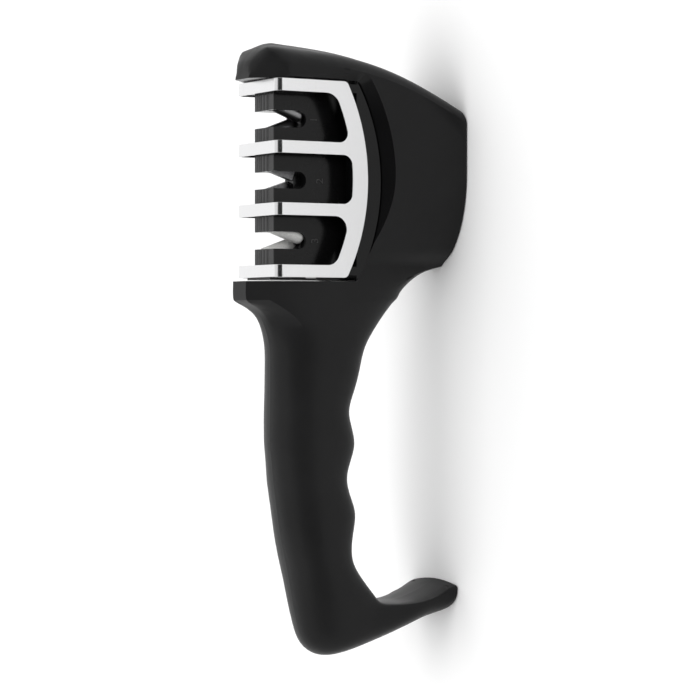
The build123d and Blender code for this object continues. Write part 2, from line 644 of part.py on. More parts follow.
def core_half(side):
    """One half of the core; side is -1 for the left and 1 for the right."""
    near = (Align.MIN, Align.MAX if side < 0 else Align.MIN, Align.MIN)
    with BuildPart() as core:
        with Locations((CORE_X0, 0, CARRIER_TOP)):
            Box(CORE_X1 - CORE_X0, CORE_HALF, CORE_TOP - CARRIER_TOP, align=near)
        with Locations((TENON_X0, 0, TROUGH_FLOOR + TROUGH_CLEAR)):
            Box(TENON_X1 - TENON_X0, CORE_HALF, CARRIER_TOP - TROUGH_FLOOR - TROUGH_CLEAR, align=near)
        for x in FINGERS:
            middle = min(max(x, CORE_X0 + RIB_T / 2), CORE_X1 - RIB_T / 2)
            with BuildSketch(Plane.YZ.offset(middle - RIB_T / 2)) as rib:
                with Locations((0, CARRIER_TOP)):
                    Rectangle(CARRIER_HALF, CORE_ROOF - CARRIER_TOP, align=(near[1], Align.MIN))
                fillet(rib.vertices().sort_by(lambda v: side * v.X + v.Y)[-1],
                       COVER_BEND - COVER_T + COVER_FIT)
            extrude(amount=RIB_T)
        for stage, (x, apex, lean) in STAGES.items():
            web = WEB_HALF if stage == "carbide" else 0.0
            with Locations(across(x, NOTCH_Z, side * (web + CORE_HALF))):
                Cylinder(NOTCH_W / 2, 2 * CORE_HALF, mode=Mode.SUBTRACT)
            with Locations((x, side * (web + CORE_HALF), NOTCH_Z)):
                Box(NOTCH_W, 2 * CORE_HALF, CORE_TOP, align=(Align.CENTER, Align.CENTER, Align.MIN),
                    mode=Mode.SUBTRACT)
            if stage == "carbide":
                with Locations((x, 0, apex - ROD_FIT)):
                    Box(NOTCH_W, 2 * CORE_HALF, CORE_TOP, align=(Align.CENTER, Align.CENTER, Align.MIN),
                        mode=Mode.SUBTRACT)
                seat = sharpener_plane(stage, side, BLADE_W / 2, BLADE_BOTTOM)
                length, width, depth = rod_length(stage, BLADE_BOTTOM), BLADE_W / 2, BLADE_Y0 + BLADE_T
            else:
                seat = sharpener_plane(stage, side, ROD_R, ROD_BOTTOM)
                length, width, depth = rod_length(stage, ROD_BOTTOM), ROD_R, ROD_Y
                with Locations(seat.offset(-ROD_FIT)):
                    Cylinder(ROD_R + ROD_FIT, length + 2 * ROD_FIT, mode=Mode.SUBTRACT,
                             align=(Align.CENTER, Align.CENTER, Align.MIN))
            foot = Vector(seat.origin.X, 0, seat.origin.Z)
            with Locations(Plane(foot, x_dir=seat.x_dir, z_dir=seat.z_dir).offset(-ROD_FIT)):
                Box(2 * (width + ROD_FIT), 2 * (depth + ROD_FIT), length + 2 * ROD_FIT, mode=Mode.SUBTRACT,
                    align=(Align.CENTER, Align.CENTER, Align.MIN))
        for x in FINGERS[1:3]:
            with Locations(across(x, PIN_Z)):
                Cylinder(PIN_R + PIN_FIT, 2 * (PIN_HALF + PIN_FIT), mode=Mode.SUBTRACT)
        for x in CARRIER_SCREW_X:
            with Locations((x, side * CARRIER_SCREW_Y, 0)):
                Cylinder(SCREW_R + SCREW_FIT, CARRIER_SCREW_SEAT + CARRIER_SCREW_LENGTH + HOLE_EXTRA,
                         align=(Align.CENTER, Align.CENTER, Align.MIN), mode=Mode.SUBTRACT)
    return core.part


SIDES = {"left": -1, "right": 1}
for side_name, side in SIDES.items():
    with BuildPart() as core:
        add(core_half(side))
    core.part.label = f"core_{side_name}"
    export_step(core.part, f"parts/core_{side_name}.step")

with BuildPart() as core_pins:
    for x in FINGERS[1:3]:
        with Locations(across(x, PIN_Z)):
            Cylinder(PIN_R, 2 * PIN_HALF)
    chamfer(core_pins.edges(), PIN_CHAMFER)
core_pins.part.label = "core_pins"
export_step(core_pins.part, "parts/core_pins.step")

with BuildPart() as steel_cover:
    with BuildSketch(Plane.YZ.offset(COVER_X0)) as bend:
        outer_half = CARRIER_HALF + COVER_FIT + COVER_T
        with Locations((0, COVER_TOP)):
            Rectangle(2 * outer_half, POCKET_R, align=(Align.CENTER, Align.MAX))
        fillet(bend.vertices().group_by(Axis.Y)[-1], COVER_BEND)
        with Locations((0, COVER_TOP - COVER_T)):
            Rectangle(2 * (outer_half - COVER_T), POCKET_R, align=(Align.CENTER, Align.MAX),
                      mode=Mode.SUBTRACT)
        inner = bend.vertices().filter_by(lambda v: abs(v.Y - COVER_TOP + COVER_T) < COVER_T / 10)
        fillet(inner, COVER_BEND - COVER_T)
    extrude(amount=COVER_X1 - COVER_X0)
    arc_centre = ((COVER_X0 + COVER_X1) / 2, COVER_BOTTOM + COVER_R)
    with BuildSketch(Plane.XZ) as plate:
        with Locations(arc_centre):
            Circle(COVER_R)
        with Locations((arc_centre[0], COVER_BOTTOM)):
            Rectangle(COVER_X1 - COVER_X0, COVER_TOP - COVER_BOTTOM, align=(Align.CENTER, Align.MIN),
                      mode=Mode.INTERSECT)
        fillet(plate.vertices().filter_by(lambda v: v.Y < COVER_TOP - COVER_T), COVER_CORNER)
    extrude(amount=2 * CARRIER_HALF, both=True, mode=Mode.INTERSECT)
    for left, right, corners in zip(FINGERS, FINGERS[1:], OPENING_CORNERS):
        with BuildSketch(Plane.XZ) as opening:
            with Locations(arc_centre):
                Circle(COVER_R - COVER_BAND)
            with Locations(((left + right) / 2, COVER_BOTTOM)):
                Rectangle(right - left - FINGER_W, POCKET_R, align=(Align.CENTER, Align.MIN),
                          mode=Mode.INTERSECT)
            fillet(opening.vertices().filter_by(lambda v: v.Y < TAB_Z1).sort_by(Axis.X)[0], corners[0])
            fillet(opening.vertices().filter_by(lambda v: v.Y < TAB_Z1).sort_by(Axis.X)[-1], corners[1])
        extrude(amount=2 * CARRIER_HALF, both=True, mode=Mode.SUBTRACT)
    tab_y = outer_half - TAB_IN / 2
    with Locations(*[(x, side * tab_y, TAB_Z0) for x in (COVER_X0, COVER_X1) for side in (-1, 1)]):
        Box(2 * COVER_T, TAB_IN, TAB_Z1 - TAB_Z0, align=(Align.CENTER, Align.CENTER, Align.MIN))
    with Locations(((COVER_X0 + COVER_X1) / 2, 0, 0)):
        Box(COVER_X1 - COVER_X0, BEYOND, BEYOND, mode=Mode.INTERSECT)
steel_cover.part.label = "steel_cover"
export_step(steel_cover.part, "parts/steel_cover.step")

for material in ("diamond", "ceramic"):
    for side_name, side in SIDES.items():
        with BuildPart() as rod:
            with Locations(sharpener_plane(material, side, ROD_R, ROD_BOTTOM)):
                Cylinder(ROD_R, rod_length(material, ROD_BOTTOM),
                         align=(Align.CENTER, Align.CENTER, Align.MIN))
            fillet(rod.edges().group_by(Axis.Z)[0], ROD_END_ROUND)
        rod.part.label = f"{material}_rod_{side_name}"
        export_step(rod.part, f"parts/{material}_rod_{side_name}.step")

for side_name, side in SIDES.items():
    with BuildPart() as blade:
        seat = sharpener_plane("carbide", side, BLADE_W / 2, BLADE_BOTTOM)
        blade_y = side * (BLADE_Y0 + BLADE_T / 2)
        with Locations(Plane((seat.origin.X, blade_y, seat.origin.Z), x_dir=seat.x_dir, z_dir=seat.z_dir)):
            Box(BLADE_W, BLADE_T, rod_length("carbide", BLADE_BOTTOM),
                align=(Align.CENTER, Align.CENTER, Align.MIN))
        chamfer(blade.edges().group_by(Axis.Z)[0], BLADE_CHAMFER)
    blade.part.label = f"carbide_blade_{side_name}"
    export_step(blade.part, f"parts/carbide_blade_{side_name}.step")
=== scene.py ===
import logging
import math
from dataclasses import dataclass, field
from enum import Enum

import bmesh
import bpy
from mathutils import Matrix, Vector


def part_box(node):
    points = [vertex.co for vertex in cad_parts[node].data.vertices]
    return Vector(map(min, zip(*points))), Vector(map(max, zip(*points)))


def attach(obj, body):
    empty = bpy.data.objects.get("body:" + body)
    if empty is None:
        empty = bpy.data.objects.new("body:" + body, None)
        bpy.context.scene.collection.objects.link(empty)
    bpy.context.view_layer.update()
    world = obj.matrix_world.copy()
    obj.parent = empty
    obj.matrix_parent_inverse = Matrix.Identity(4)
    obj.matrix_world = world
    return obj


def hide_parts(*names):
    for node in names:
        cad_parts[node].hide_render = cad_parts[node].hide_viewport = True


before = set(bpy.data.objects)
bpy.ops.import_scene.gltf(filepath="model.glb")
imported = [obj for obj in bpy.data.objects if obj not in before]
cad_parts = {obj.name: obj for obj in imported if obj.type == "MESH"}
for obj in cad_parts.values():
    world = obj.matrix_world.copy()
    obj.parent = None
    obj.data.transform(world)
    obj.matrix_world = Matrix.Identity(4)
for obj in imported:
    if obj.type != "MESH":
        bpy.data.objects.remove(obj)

LOG = logging.getLogger("sharpener")
MM = 0.001
WELD = 0.001 * MM            # points closer than this are one point
FLAT_ANGLE = 0.4             # faces that meet within this many degrees are one face
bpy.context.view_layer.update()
Colour = tuple[float, float, float]
Place = tuple[float, float, float]


class Body(Enum):
    """The two groups of pieces that move as one."""

    HOUSING = "housing"
    CARTRIDGE = "cartridge"


# ---------------------------------------------------------------- shader nodes
class Value:
    """A shader socket that adds Math nodes when it is used in an expression."""

    def __init__(self, tree: "Tree", socket: bpy.types.NodeSocket) -> None:
        """Wrap a socket of a tree."""
        self.tree = tree
        self.socket = socket

    def _math(self, operation: str, *others: "Value | float",
              first: "Value | float | None" = None) -> "Value":
        """Add one Math node.

        Args:
            operation: the node's operation.
            others: its second and third inputs.
            first: its first input, where that isn't this value.

        Returns:
            The node's result.
        """
        inputs = [self if first is None else first, *others]
        node = self.tree.node("ShaderNodeMath", {"operation": operation}, dict(enumerate(inputs)))
        return Value(self.tree, node.outputs[0])

    def __add__(self, other: "Value | float") -> "Value":
        """Sum."""
        return self._math("ADD", other)

    __radd__ = __add__

    def __sub__(self, other: "Value | float") -> "Value":
        """Difference."""
        return self._math("SUBTRACT", other)

    def __rsub__(self, other: "Value | float") -> "Value":
        """Reflected difference, as in 1 - mask."""
        return self._math("SUBTRACT", self, first=other)

    def __mul__(self, other: "Value | float") -> "Value":
        """Product."""
        return self._math("MULTIPLY", other)

    __rmul__ = __mul__

    def __gt__(self, other: "Value | float") -> "Value":
        """1 where this is more than the other."""
        return self._math("GREATER_THAN", other)

    def __abs__(self) -> "Value":
        """Size without sign."""
        return self._math("ABSOLUTE")

    def swing(self, width: float) -> "Value":
        """Turn a 0..1 value into one that swings around 0.

        Args:
            width: from its lowest to its highest.

        Returns:
            The swing.
        """
        return (self - 0.5) * width

    def mapped(self, start: float, end: float, near: float = 0.0, far: float = 1.0) -> "Value":
        """Map this value from one range to another, and hold it there.

        Args:
            start: where the first range starts.
            end: where it ends.
            near: the result at its start.
            far: the result at its end.

        Returns:
            The mapped value.
        """
        node = self.tree.node("ShaderNodeMapRange", {"clamp": True}, {
            "Value": self, "From Min": start, "From Max": end, "To Min": near, "To Max": far})
        return Value(self.tree, node.outputs["Result"])


class Tree:
    """A node tree, with one method that makes every node."""

    def __init__(self, tree: bpy.types.NodeTree) -> None:
        """Wrap the node tree of a material, a world or a modifier."""
        self.nodes = tree.nodes
        self.links = tree.links

    def plug(self, target: bpy.types.NodeSocket, value: object) -> None:
        """Link a socket or set its number.

        Args:
            target: the input to fill.
            value: a Value, a socket, a number, a tuple or a material.
        """
        if isinstance(value, Value):
            value = value.socket
        if isinstance(value, bpy.types.NodeSocket):
            self.links.new(value, target)
        else:
            target.default_value = value

    def node(self, kind: str, settings: dict, inputs: dict) -> bpy.types.Node:
        """Make one node.

        Args:
            kind: the node's type.
            settings: attributes to set first.
            inputs: values or links, by the name or number of the input.

        Returns:
            The node.
        """
        node = self.nodes.new(kind)
        for name, value in settings.items():
            setattr(node, name, value)
        for name, value in inputs.items():
            self.plug(node.inputs[name], value)
        return node


class FinishTree(Tree):
    """The node tree of a material with a Principled surface."""

    def __init__(self, name: str) -> None:
        """Start the material."""
        self.material = bpy.data.materials.new(name)
        self.material.use_nodes = True
        super().__init__(self.material.node_tree)
        self.shader = self.nodes["Principled BSDF"]

    def place(self, scale: Place = (1, 1, 1)) -> bpy.types.NodeSocket:
        """Object coordinates.

        Args:
            scale: stretch along each axis.

        Returns:
            The coordinate socket.
        """
        coordinates = self.node("ShaderNodeTexCoord", {}, {})
        mapping = self.node("ShaderNodeMapping", {"vector_type": "POINT"},
                            {"Vector": coordinates.outputs["Object"], "Scale": scale})
        return mapping.outputs["Vector"]

    def axis(self, name: str) -> Value:
        """One object coordinate in metres: X, Y or Z."""
        coordinates = self.node("ShaderNodeTexCoord", {}, {})
        split = self.node("ShaderNodeSeparateXYZ", {}, {"Vector": coordinates.outputs["Object"]})
        return Value(self, split.outputs[name])

    def noise(self, scale: float, detail: float = 2.0,
              vector: bpy.types.NodeSocket | None = None) -> Value:
        """Noise over the object.

        Args:
            scale: features per metre.
            detail: octaves.
            vector: coordinates, where they aren't the plain ones.

        Returns:
            A value near 0.5.
        """
        node = self.node("ShaderNodeTexNoise", {}, {
            "Vector": vector or self.place(), "Scale": scale, "Detail": detail})
        return Value(self, node.outputs["Fac"])

    def mix(self, share: object, first: tuple, second: tuple) -> bpy.types.NodeSocket:
        """Blend two colours.

        Args:
            share: 0 for the first, 1 for the second.
            first: a colour or a colour socket.
            second: a colour or a colour socket.

        Returns:
            The colour socket.
        """
        node = self.node("ShaderNodeMix", {"data_type": "RGBA"}, {"Factor": share})
        for socket, colour in ((node.inputs[6], first), (node.inputs[7], second)):
            self.plug(socket, (*colour, 1.0) if isinstance(colour, tuple) and len(colour) == 3 else colour)
        return node.outputs[2]

    def bump(self, height: Value, strength: float, depth: float) -> None:
        """Bump the surface by a height.

        Args:
            height: 0..1 height.
            strength: share of the effect.
            depth: what a height of 1 stands for, in metres.
        """
        node = self.node("ShaderNodeBump", {}, {"Strength": strength, "Distance": depth, "Height": height})
        self.links.new(node.outputs["Normal"], self.shader.inputs["Normal"])

    def surface(self, **values: object) -> None:
        """Set inputs of the surface, with _ for a space in their names."""
        for name, value in values.items():
            self.plug(self.shader.inputs[name.replace("_", " ")], value)


# ---------------------------------------------------------------- finishes
def shade(colour: Colour, factor: float) -> Colour:
    """Make a colour darker or brighter.

    Args:
        colour: the colour.
        factor: what each part is multiplied by.

    Returns:
        The new colour.
    """
    return tuple(factor * part for part in colour)


@dataclass(frozen=True)
class MouldedPlastic:
    """Black moulded plastic with a fine spark-eroded grain."""

    name: str
    colour: Colour = (0.0128, 0.0128, 0.0131)
    roughness: float = 0.4
    grain: float = 3200.0
    depth: float = 0.02 * MM
    specular: float = 0.11

    def make(self) -> bpy.types.Material:
        """Build the material."""
        tree = FinishTree(self.name)
        cloud = tree.noise(scale=45.0, detail=3.0)
        grain = tree.noise(scale=self.grain)
        tree.surface(Base_Color=tree.mix(cloud, shade(self.colour, 0.8), shade(self.colour, 1.25)),
                     Roughness=self.roughness + cloud.swing(0.12) + grain.swing(0.06),
                     Specular_IOR_Level=self.specular)
        tree.bump(grain, strength=0.35, depth=self.depth)
        return tree.material


@dataclass(frozen=True)
class PolishedPlastic:
    """Black plastic from a polished mould, with fine draw lines along X on its top; its top has painted
    light and its lines painted shade.
    """

    name: str
    colour: Colour = (0.005, 0.005, 0.0052)
    top_colour: Colour = (0.022, 0.022, 0.0225)
    line_colour: Colour = (0.001, 0.001, 0.001)
    roughness: float = 0.17
    line_roughness: float = 0.3
    specular: float = 0.19
    top: float = 70.0 * MM
    lines: tuple[float, ...] = (-3.4, -2.2, 0.0, 2.1, 3.3, 4.4)
    line_half: float = 0.14 * MM
    line_depth: float = 0.25 * MM

    def make(self) -> bpy.types.Material:
        """Build the material."""
        tree = FinishTree(self.name)
        cloud = tree.noise(scale=70.0, detail=3.0)
        across, on_top = tree.axis("Y"), tree.axis("Z") > self.top
        grooves = on_top * 0.0
        for place in self.lines:
            away = abs(across - place * MM)
            grooves = grooves + (1.0 - away.mapped(0.5 * self.line_half, 1.5 * self.line_half))
        grooves = grooves * on_top
        side = tree.mix(cloud, shade(self.colour, 0.8), shade(self.colour, 1.3))
        # painted light: the top, above the top height, is painted lighter than the sides
        base = tree.mix(on_top, side, self.top_colour)
        # painted shade: the grooves are painted darker; their roughness and bump are real
        tree.surface(Base_Color=tree.mix(grooves, base, self.line_colour),
                     Roughness=self.roughness + cloud.swing(0.1) + grooves * self.line_roughness,
                     Specular_IOR_Level=self.specular)
        tree.bump(1.0 - grooves, strength=1.0, depth=self.line_depth)
        return tree.material


@dataclass(frozen=True)
class BrushedSteel:
    """Stainless sheet or wire, brushed along one axis."""

    name: str
    colour: Colour = (0.7, 0.7, 0.705)
    roughness: float = 0.2
    lines: Place = (60.0, 4000.0, 4000.0)
    depth: float = 0.008 * MM

    def make(self) -> bpy.types.Material:
        """Build the material."""
        tree = FinishTree(self.name)
        brushed = tree.noise(scale=1.0, detail=3.0, vector=tree.place(self.lines))
        cloud = tree.noise(scale=60.0)
        tree.surface(Base_Color=tree.mix(brushed, shade(self.colour, 0.9), self.colour), Metallic=1.0,
                     Roughness=self.roughness + brushed.swing(0.16) + cloud.swing(0.05))
        tree.bump(brushed, strength=0.4, depth=self.depth)
        return tree.material


@dataclass(frozen=True)
class Grit:
    """Fine hard grit, bonded or sintered."""

    name: str
    colour: Colour
    roughness: float
    metal: float
    grain: float = 6000.0
    depth: float = 0.03 * MM
    bare: float = 0.35
    covered: float = 0.65

    def make(self) -> bpy.types.Material:
        """Build the material."""
        tree = FinishTree(self.name)
        grain = tree.noise(scale=self.grain, detail=3.0)
        cover = grain.mapped(self.bare, self.covered)
        tree.surface(Base_Color=tree.mix(cover, shade(self.colour, 0.6), self.colour),
                     Metallic=self.metal, Roughness=self.roughness + grain.swing(0.2))
        tree.bump(grain, strength=0.6, depth=self.depth)
        return tree.material


@dataclass(frozen=True)
class Rubber:
    """Matt black rubber with a soft bloom."""

    name: str
    colour: Colour = (0.02, 0.02, 0.02)
    bloom_colour: Colour = (0.035, 0.035, 0.034)
    roughness: float = 0.78
    specular: float = 0.3
    depth: float = 0.03 * MM

    def make(self) -> bpy.types.Material:
        """Build the material."""
        tree = FinishTree(self.name)
        bloom = tree.noise(scale=90.0, detail=4.0)
        grain = tree.noise(scale=2500.0)
        tree.surface(Base_Color=tree.mix(bloom, self.colour, self.bloom_colour),
                     Roughness=self.roughness + bloom.swing(0.2), Specular_IOR_Level=self.specular)
        tree.bump(grain, strength=0.4, depth=self.depth)
        return tree.material


# ---------------------------------------------------------------- mesh helpers
def finished(name: str, mesh: bpy.types.Mesh, material: bpy.types.Material, body: Body) -> bpy.types.Object:
    """Link a finished mesh as a piece of the sharpener.

    Args:
        name: the piece's name.
        mesh: its mesh, in place.
        material: its finish.
        body: the body it moves with.

    Returns:
        The piece.
    """
    piece = bpy.data.objects.new(name, mesh)
    bpy.context.scene.collection.objects.link(piece)
    mesh.materials.clear()
    mesh.materials.append(material)
    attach(piece, body.value)
    LOG.info("%s: %d faces on %s", name, len(mesh.polygons), body.value)
    return piece


def give_finish(node: str, material: bpy.types.Material) -> None:
    """Put a material on a CAD node that shows as it is.

    Args:
        node: the node.
        material: its finish.
    """
    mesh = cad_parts[node].data
    mesh.materials.clear()
    mesh.materials.append(material)
    LOG.info("%s: %s", node, material.name)


def evaluated_mesh(piece: bpy.types.Object) -> bpy.types.Mesh:
    """The piece's mesh with its modifiers applied; the piece itself is removed."""
    bpy.context.view_layer.update()
    graph = bpy.context.evaluated_depsgraph_get()
    mesh = bpy.data.meshes.new_from_object(piece.evaluated_get(graph))
    bpy.data.objects.remove(piece)
    return mesh


def dressed_copy(node: str, sharp: float = 28.0, edge: float = 0.0, segments: int = 2,
                 soften: "SoftCap | None" = None) -> bpy.types.Mesh:
    """A merged copy of a CAD node's mesh, smooth but for its real edges.

    Args:
        node: the node to copy.
        sharp: edges over this angle, in degrees, are real edges.
        edge: width of the small round on them, in metres; 0 leaves them crisp.
        segments: faces across that round.
        soften: a region whose edges melt into each other.

    Returns:
        The new mesh.
    """
    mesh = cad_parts[node].data.copy()
    shape = bmesh.new()
    shape.from_mesh(mesh)
    bmesh.ops.remove_doubles(shape, verts=shape.verts, dist=WELD)
    bmesh.ops.dissolve_limit(shape, angle_limit=math.radians(FLAT_ANGLE), verts=shape.verts,
                             edges=shape.edges)
    if soften:
        soften.apply(shape)
    for face in shape.faces:
        face.smooth = True
    for seam in shape.edges:
        seam.smooth = len(seam.link_faces) == 2 and seam.calc_face_angle(0.0) < math.radians(sharp)
    shape.to_mesh(mesh)
    shape.free()
    if edge == 0.0:
        return mesh
    piece = bpy.data.objects.new(f"{node}_draft", mesh)
    bpy.context.scene.collection.objects.link(piece)
    round_off = piece.modifiers.new("edges", "BEVEL")
    round_off.width = edge
    round_off.segments = segments
    round_off.limit_method = "ANGLE"
    round_off.angle_limit = math.radians(sharp)
    round_off.harden_normals = True
    return evaluated_mesh(piece)


def joined(meshes: list[bpy.types.Mesh]) -> bpy.types.Mesh:
    """One mesh out of several."""
    shape = bmesh.new()
    for mesh in meshes:
        shape.from_mesh(mesh)
    whole = bpy.data.meshes.new(meshes[0].name)
    shape.to_mesh(whole)
    shape.free()
    return whole


def ramp(value: float, start: float, end: float) -> float:
    """Tell how far a value has come along a range.

    Args:
        value: the value.
        start: where the range starts.
        end: where it ends.

    Returns:
        0 at the start and before it, 1 at the end and beyond.
    """
    return min(max((value - start) / (end - start), 0.0), 1.0)


@dataclass(frozen=True)
class SoftCap:
    """The end of the head's top, where its flats melt into one soft round."""

    start: float = 94.0 * MM
    full: float = 99.5 * MM
    low: float = 46.0 * MM
    high: float = 60.0 * MM
    spacing: float = 1.1 * MM
    cuts: int = 8
    rounds: int = 28
    pull: float = 0.6
    seam: float = 0.001 * MM
    lift: float = 0.5 * MM
    crown: float = 1.3 * MM
    lift_from: float = 92.8 * MM
    lift_low: float = 60.0 * MM
    lift_high: float = 76.0 * MM

    def share(self, place: Vector) -> float:
        """Tell how far a point follows the round.

        Args:
            place: where the point is.

        Returns:
            0 for not at all, 1 for fully.
        """
        along = ramp(place.x, self.start, self.full)
        return along * along * (3 - 2 * along) * ramp(place.z, self.low, self.high)

    def refine(self, shape: bmesh.types.BMesh) -> None:
        """Cut the cap's long edges until none is longer than the spacing."""
        for _ in range(self.cuts):
            cut = [edge for edge in shape.edges if edge.calc_length() > self.spacing
                   and max(self.share(end.co) for end in edge.verts) > 0]
            if not cut:
                return
            bmesh.ops.subdivide_edges(shape, edges=cut, cuts=1)
            wide = [face for face in shape.faces if len(face.verts) > 3
                    and max(self.share(corner.co) for corner in face.verts) > 0]
            bmesh.ops.triangulate(shape, faces=wide)

    def neighbours(self, point: bmesh.types.BMVert) -> list[bmesh.types.BMVert]:
        """Find the points beside one.

        Args:
            point: the point.

        Returns:
            Those beside it along the outer skin, or all of them if it isn't on the skin.
        """
        skin = [edge for edge in point.link_edges
                if any(max(abs(corner.co.y) for corner in face.verts) > self.seam
                       for face in edge.link_faces)]
        return [edge.other_vert(point) for edge in (skin or point.link_edges)]

    def relax(self, shape: bmesh.types.BMesh) -> None:
        """Pull the cap's points towards their neighbours, keeping the seam of the halves flat."""
        around = {}
        for point in shape.verts:
            share = self.share(point.co)
            if share > 0:
                around[point] = (share, abs(point.co.y) < self.seam, self.neighbours(point))
        for _ in range(self.rounds):
            moved = {}
            for point, (share, flat, others) in around.items():
                middle = sum((other.co for other in others), Vector()) / len(others)
                target = point.co.lerp(middle, self.pull * share)
                moved[point] = Vector((target.x, 0.0, target.z)) if flat else target
            for point, target in moved.items():
                point.co = target

    def raise_crown(self, shape: bmesh.types.BMesh) -> None:
        """Raise the top of the cap: all of it a little, and its round the most."""
        for point in shape.verts:
            if point.co.x > self.lift_from:
                up = ramp(point.co.z, self.lift_low, self.lift_high)
                point.co.z += up * (self.lift + self.crown * self.share(point.co))

    def apply(self, shape: bmesh.types.BMesh) -> None:
        """Melt the cap's edges into one round."""
        self.refine(shape)
        self.relax(shape)
        self.raise_crown(shape)


# ---------------------------------------------------------------- finishes in use
@dataclass
class Finishes:
    """Every material of the sharpener, made once."""

    housing: bpy.types.Material = field(default_factory=lambda: MouldedPlastic("moulded_black").make())
    core: bpy.types.Material = field(default_factory=lambda: PolishedPlastic("polished_core").make())
    cover: bpy.types.Material = field(default_factory=lambda: BrushedSteel("brushed_cover").make())
    screws: bpy.types.Material = field(default_factory=lambda: BrushedSteel(
        "zinc_screws", colour=(0.55, 0.55, 0.56), roughness=0.35, lines=(900.0, 900.0, 900.0)).make())
    spring: bpy.types.Material = field(default_factory=lambda: BrushedSteel(
        "bright_spring", colour=(0.65, 0.65, 0.66), lines=(400.0, 400.0, 4000.0)).make())
    diamond: bpy.types.Material = field(default_factory=lambda: Grit(
        "diamond_coat", (0.3, 0.3, 0.305), 0.38, 1.0).make())
    carbide: bpy.types.Material = field(default_factory=lambda: Grit(
        "ground_carbide", (0.19, 0.19, 0.195), 0.42, 1.0, grain=1500.0, depth=0.02 * MM).make())
    ceramic: bpy.types.Material = field(default_factory=lambda: Grit(
        "sintered_ceramic", (0.88, 0.88, 0.86), 0.5, 0.0).make())
    rubber: bpy.types.Material = field(default_factory=lambda: Rubber("sole_rubber").make())
    # painted shade: the rim is darker than the housing where the pocket's shade falls; its polish is real
    rim: bpy.types.Material = field(default_factory=lambda: PolishedPlastic(
        "polished_rim_painted_shade", colour=(0.0045, 0.0045, 0.0047), top_colour=(0.0045, 0.0045, 0.0047), roughness=0.2,
        lines=()).make())
    numbers: bpy.types.Material = field(default_factory=lambda: MouldedPlastic(
        "raised_numbers", colour=(0.05, 0.05, 0.05), roughness=0.35).make())
    # near-black strips over the core's draw lines: painted shade
    draw_lines: bpy.types.Material = field(default_factory=lambda: MouldedPlastic(
        "draw_line_painted_shade", colour=(0.002, 0.002, 0.002), roughness=0.6, specular=0.05).make())


# ---------------------------------------------------------------- sub-assemblies
@dataclass
class Housing:
    """The two moulded halves, their base, sole, pads and fasteners."""

    finishes: Finishes
    shell_sharp: float = 24.0
    edge: float = 0.18 * MM
    rim_span: tuple[float, float] = (23.2 * MM, 97.5 * MM)
    rim_low: float = 27.0 * MM
    rim_centre: tuple[float, float] = (58.3 * MM, 62.0 * MM)
    rim_facing: float = 0.25

    def build(self) -> None:
        """Dress every piece of the housing."""
        for node in ("shell_left", "shell_right"):
            mesh = dressed_copy(node, self.shell_sharp, self.edge, soften=SoftCap())
            piece = finished(f"{node}_skin", mesh, self.finishes.housing, Body.HOUSING)
            self.polish_rim(mesh)
            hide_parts(node)
        give_finish("base_plate", self.finishes.housing)
        give_finish("base_sole", self.finishes.rubber)
        give_finish("foot_pad", self.finishes.rubber)
        give_finish("shell_screws", self.finishes.screws)
        give_finish("base_plate_screws", self.finishes.screws)
        give_finish("retaining_clips", self.finishes.spring)

    def polish_rim(self, mesh: bpy.types.Mesh) -> None:
        """Give the faces that look into the pocket their polished finish, whose darker colour is painted
        shade.
        """
        mesh.materials.append(self.finishes.rim)
        low, high = self.rim_span
        middle_x, middle_z = self.rim_centre
        # faces in the pocket that face inwards take the painted shade
        for face in mesh.polygons:
            x, _, z = face.center
            inward = Vector((middle_x - x, middle_z - z)).normalized()
            facing = face.normal.x * inward.x + face.normal.z * inward.y
            if low < x < high and z > self.rim_low and facing > self.rim_facing:
                face.material_index = 1


@dataclass
class Cartridge:
    """The lift-out cartridge: carrier, core, steel cover, rods and blades."""

    finishes: Finishes
    sharp: float = 30.0
    cover_edge: float = 0.12 * MM
    core_edge: float = 0.35 * MM

    def build(self) -> None:
        """Dress every piece of the cartridge."""
        cover = finished("steel_cover_skin", dressed_copy("steel_cover", self.sharp, self.cover_edge),
                         self.finishes.cover, Body.CARTRIDGE)
        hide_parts("steel_cover")
        for node in ("core_left", "core_right", "cartridge_base"):
            mesh = dressed_copy(node, self.sharp, self.core_edge)
            piece = finished(f"{node}_skin", mesh, self.finishes.core, Body.CARTRIDGE)
            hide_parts(node)
        give_finish("carrier_screws", self.finishes.screws)
        give_finish("core_pins", self.finishes.spring)
        for side in ("left", "right"):
            give_finish(f"diamond_rod_{side}", self.finishes.diamond)
            give_finish(f"carbide_blade_{side}", self.finishes.carbide)
            give_finish(f"ceramic_rod_{side}", self.finishes.ceramic)


